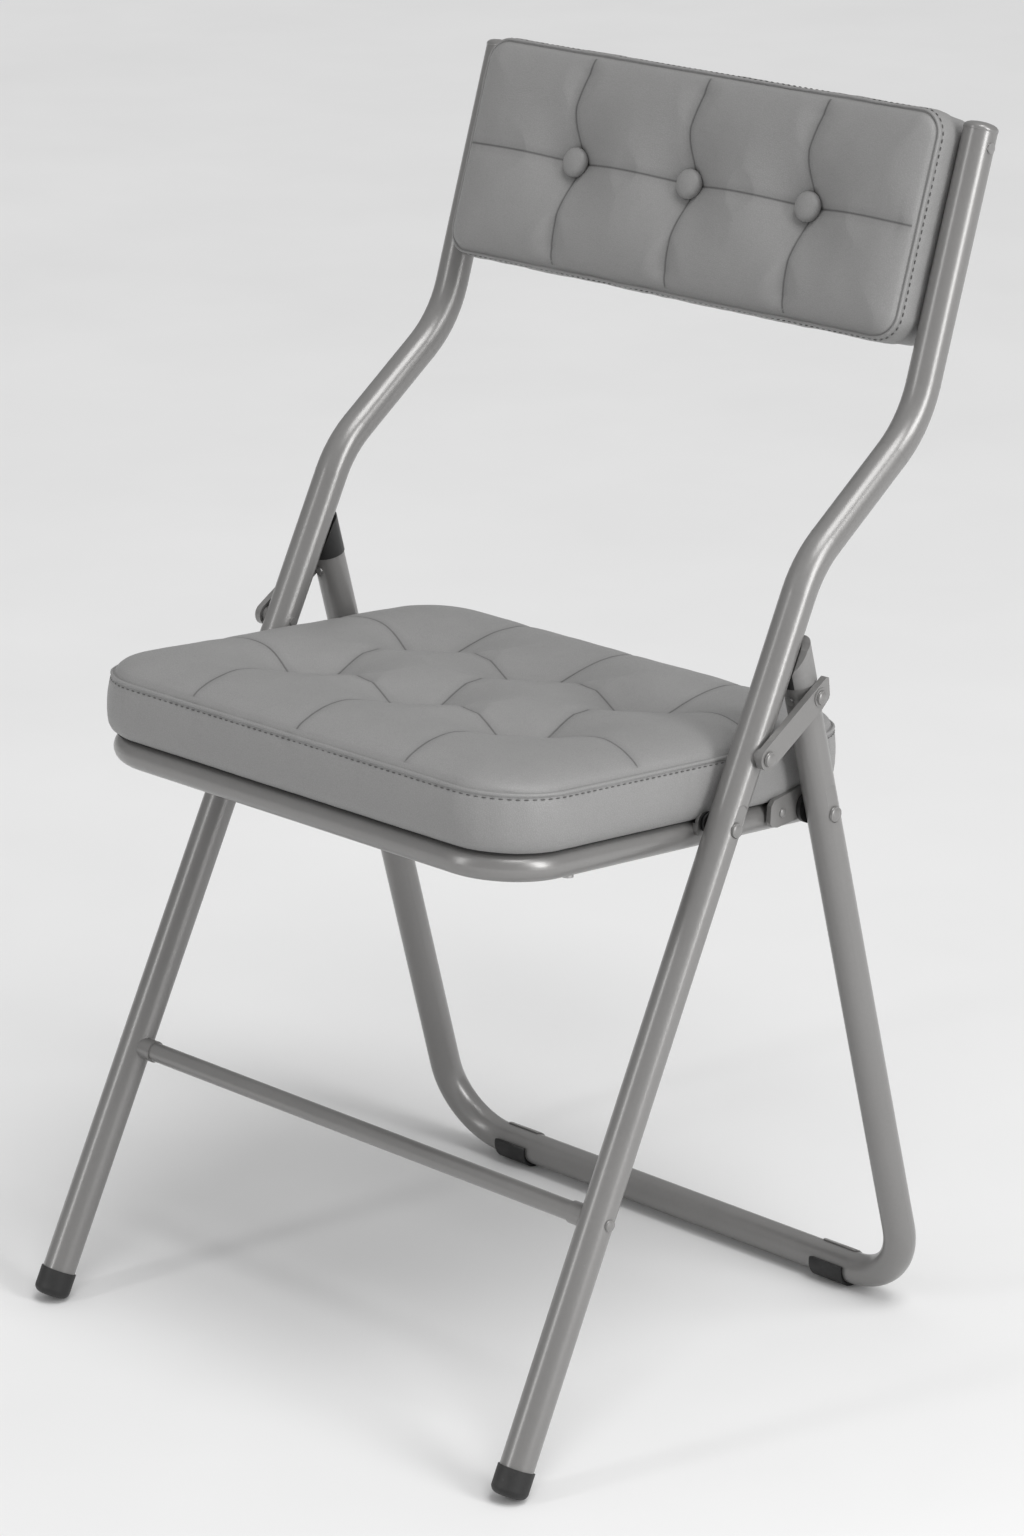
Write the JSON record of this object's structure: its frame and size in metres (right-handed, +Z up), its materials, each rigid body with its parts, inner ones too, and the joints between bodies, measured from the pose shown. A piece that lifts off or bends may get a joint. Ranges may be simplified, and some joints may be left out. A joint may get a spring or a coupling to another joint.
{
  "type": "folding chair",
  "caption": "Folding chair of bent steel tube with a tufted seat cushion and a buttoned back pad between its long posts.",
  "frame": {"origin": "on the floor, at the middle of the chair's width and depth", "axes": "+Z up, +Y to the back of the chair, +X to the sitter's left when seen from the front"},
  "size_m": [0.4644, 0.475, 0.7982],
  "materials": {
    "paint": "semi-gloss warm grey enamel",
    "zinc": "rivets and plugs enamelled with the frame",
    "vinyl": "grey upholstery vinyl with a fine grain",
    "black_plastic": "black moulded plastic",
    "rubber": "black rubber",
    "wood": "plain plywood, hidden under the covers"
  },
  "bodies": {
    "front_frame": {"post_left": "paint", "post_right": "paint", "post_plug_left": "zinc", "post_plug_right": "zinc", "front_foot_left": "rubber", "front_foot_right": "rubber", "crossbar": "paint", "crossbar_rivets": "zinc", "seat_pivot_rivets": "zinc", "pivot_bushes": "black_plastic", "link_front_rivets": "zinc", "back_cushion": "vinyl", "back_board": "wood", "back_cover": "vinyl", "back_buttons": "vinyl", "back_screws": "zinc", "back_tabs": "paint"},
    "seat": {"seat_frame": "paint", "seat_ear_left": "paint", "seat_ear_right": "paint", "seat_brace": "paint", "rail_plugs": "black_plastic", "seat_board": "wood", "seat_cushion": "vinyl", "seat_screws": "zinc", "seat_bracket_left": "paint", "seat_bracket_right": "paint", "bracket_rivets": "zinc"},
    "rear_leg": {"rear_leg": "paint", "rear_cap_left": "black_plastic", "rear_cap_right": "black_plastic", "cap_cover_left": "paint", "cap_cover_right": "paint", "cap_rivets": "zinc", "rear_pivot_rivets": "zinc", "rear_pivot_spacers": "black_plastic", "rear_clip_left": "rubber", "rear_clip_right": "rubber"},
    "link_left": {"link_left": "paint", "link_rear_rivet_left": "zinc", "link_spacer_left": "black_plastic"},
    "link_right": {"link_right": "paint", "link_rear_rivet_right": "zinc", "link_spacer_right": "black_plastic"}
  },
  "joints": [
    {"name": "seat_fold", "type": "hinge", "parent": "front_frame", "child": "seat", "pos_m": [0, -0.02572, 0.38756], "axis": [-1, 0, 0], "range_deg": [0, 90]},
    {"name": "rear_leg_fold", "type": "hinge", "parent": "seat", "child": "rear_leg", "pos_m": [0, 0.06571, 0.37469], "axis": [1, 0, 0], "range_deg": [0, 48.2]},
    {"name": "link_left_fold", "type": "hinge", "parent": "front_frame", "child": "link_left", "pos_m": [0, -0.00328, 0.42999], "axis": [-1, 0, 0], "range_deg": [0, 121.3]},
    {"name": "link_right_fold", "type": "hinge", "parent": "front_frame", "child": "link_right", "pos_m": [0, -0.00328, 0.42999], "axis": [-1, 0, 0], "range_deg": [0, 121.3]}
  ],
  "couplings": [
    {"joint": "rear_leg_fold", "follows": "seat_fold", "ratio": 0.534},
    {"joint": "link_left_fold", "follows": "seat_fold", "ratio": 1.346},
    {"joint": "link_right_fold", "follows": "seat_fold", "ratio": 1.346}
  ]
}
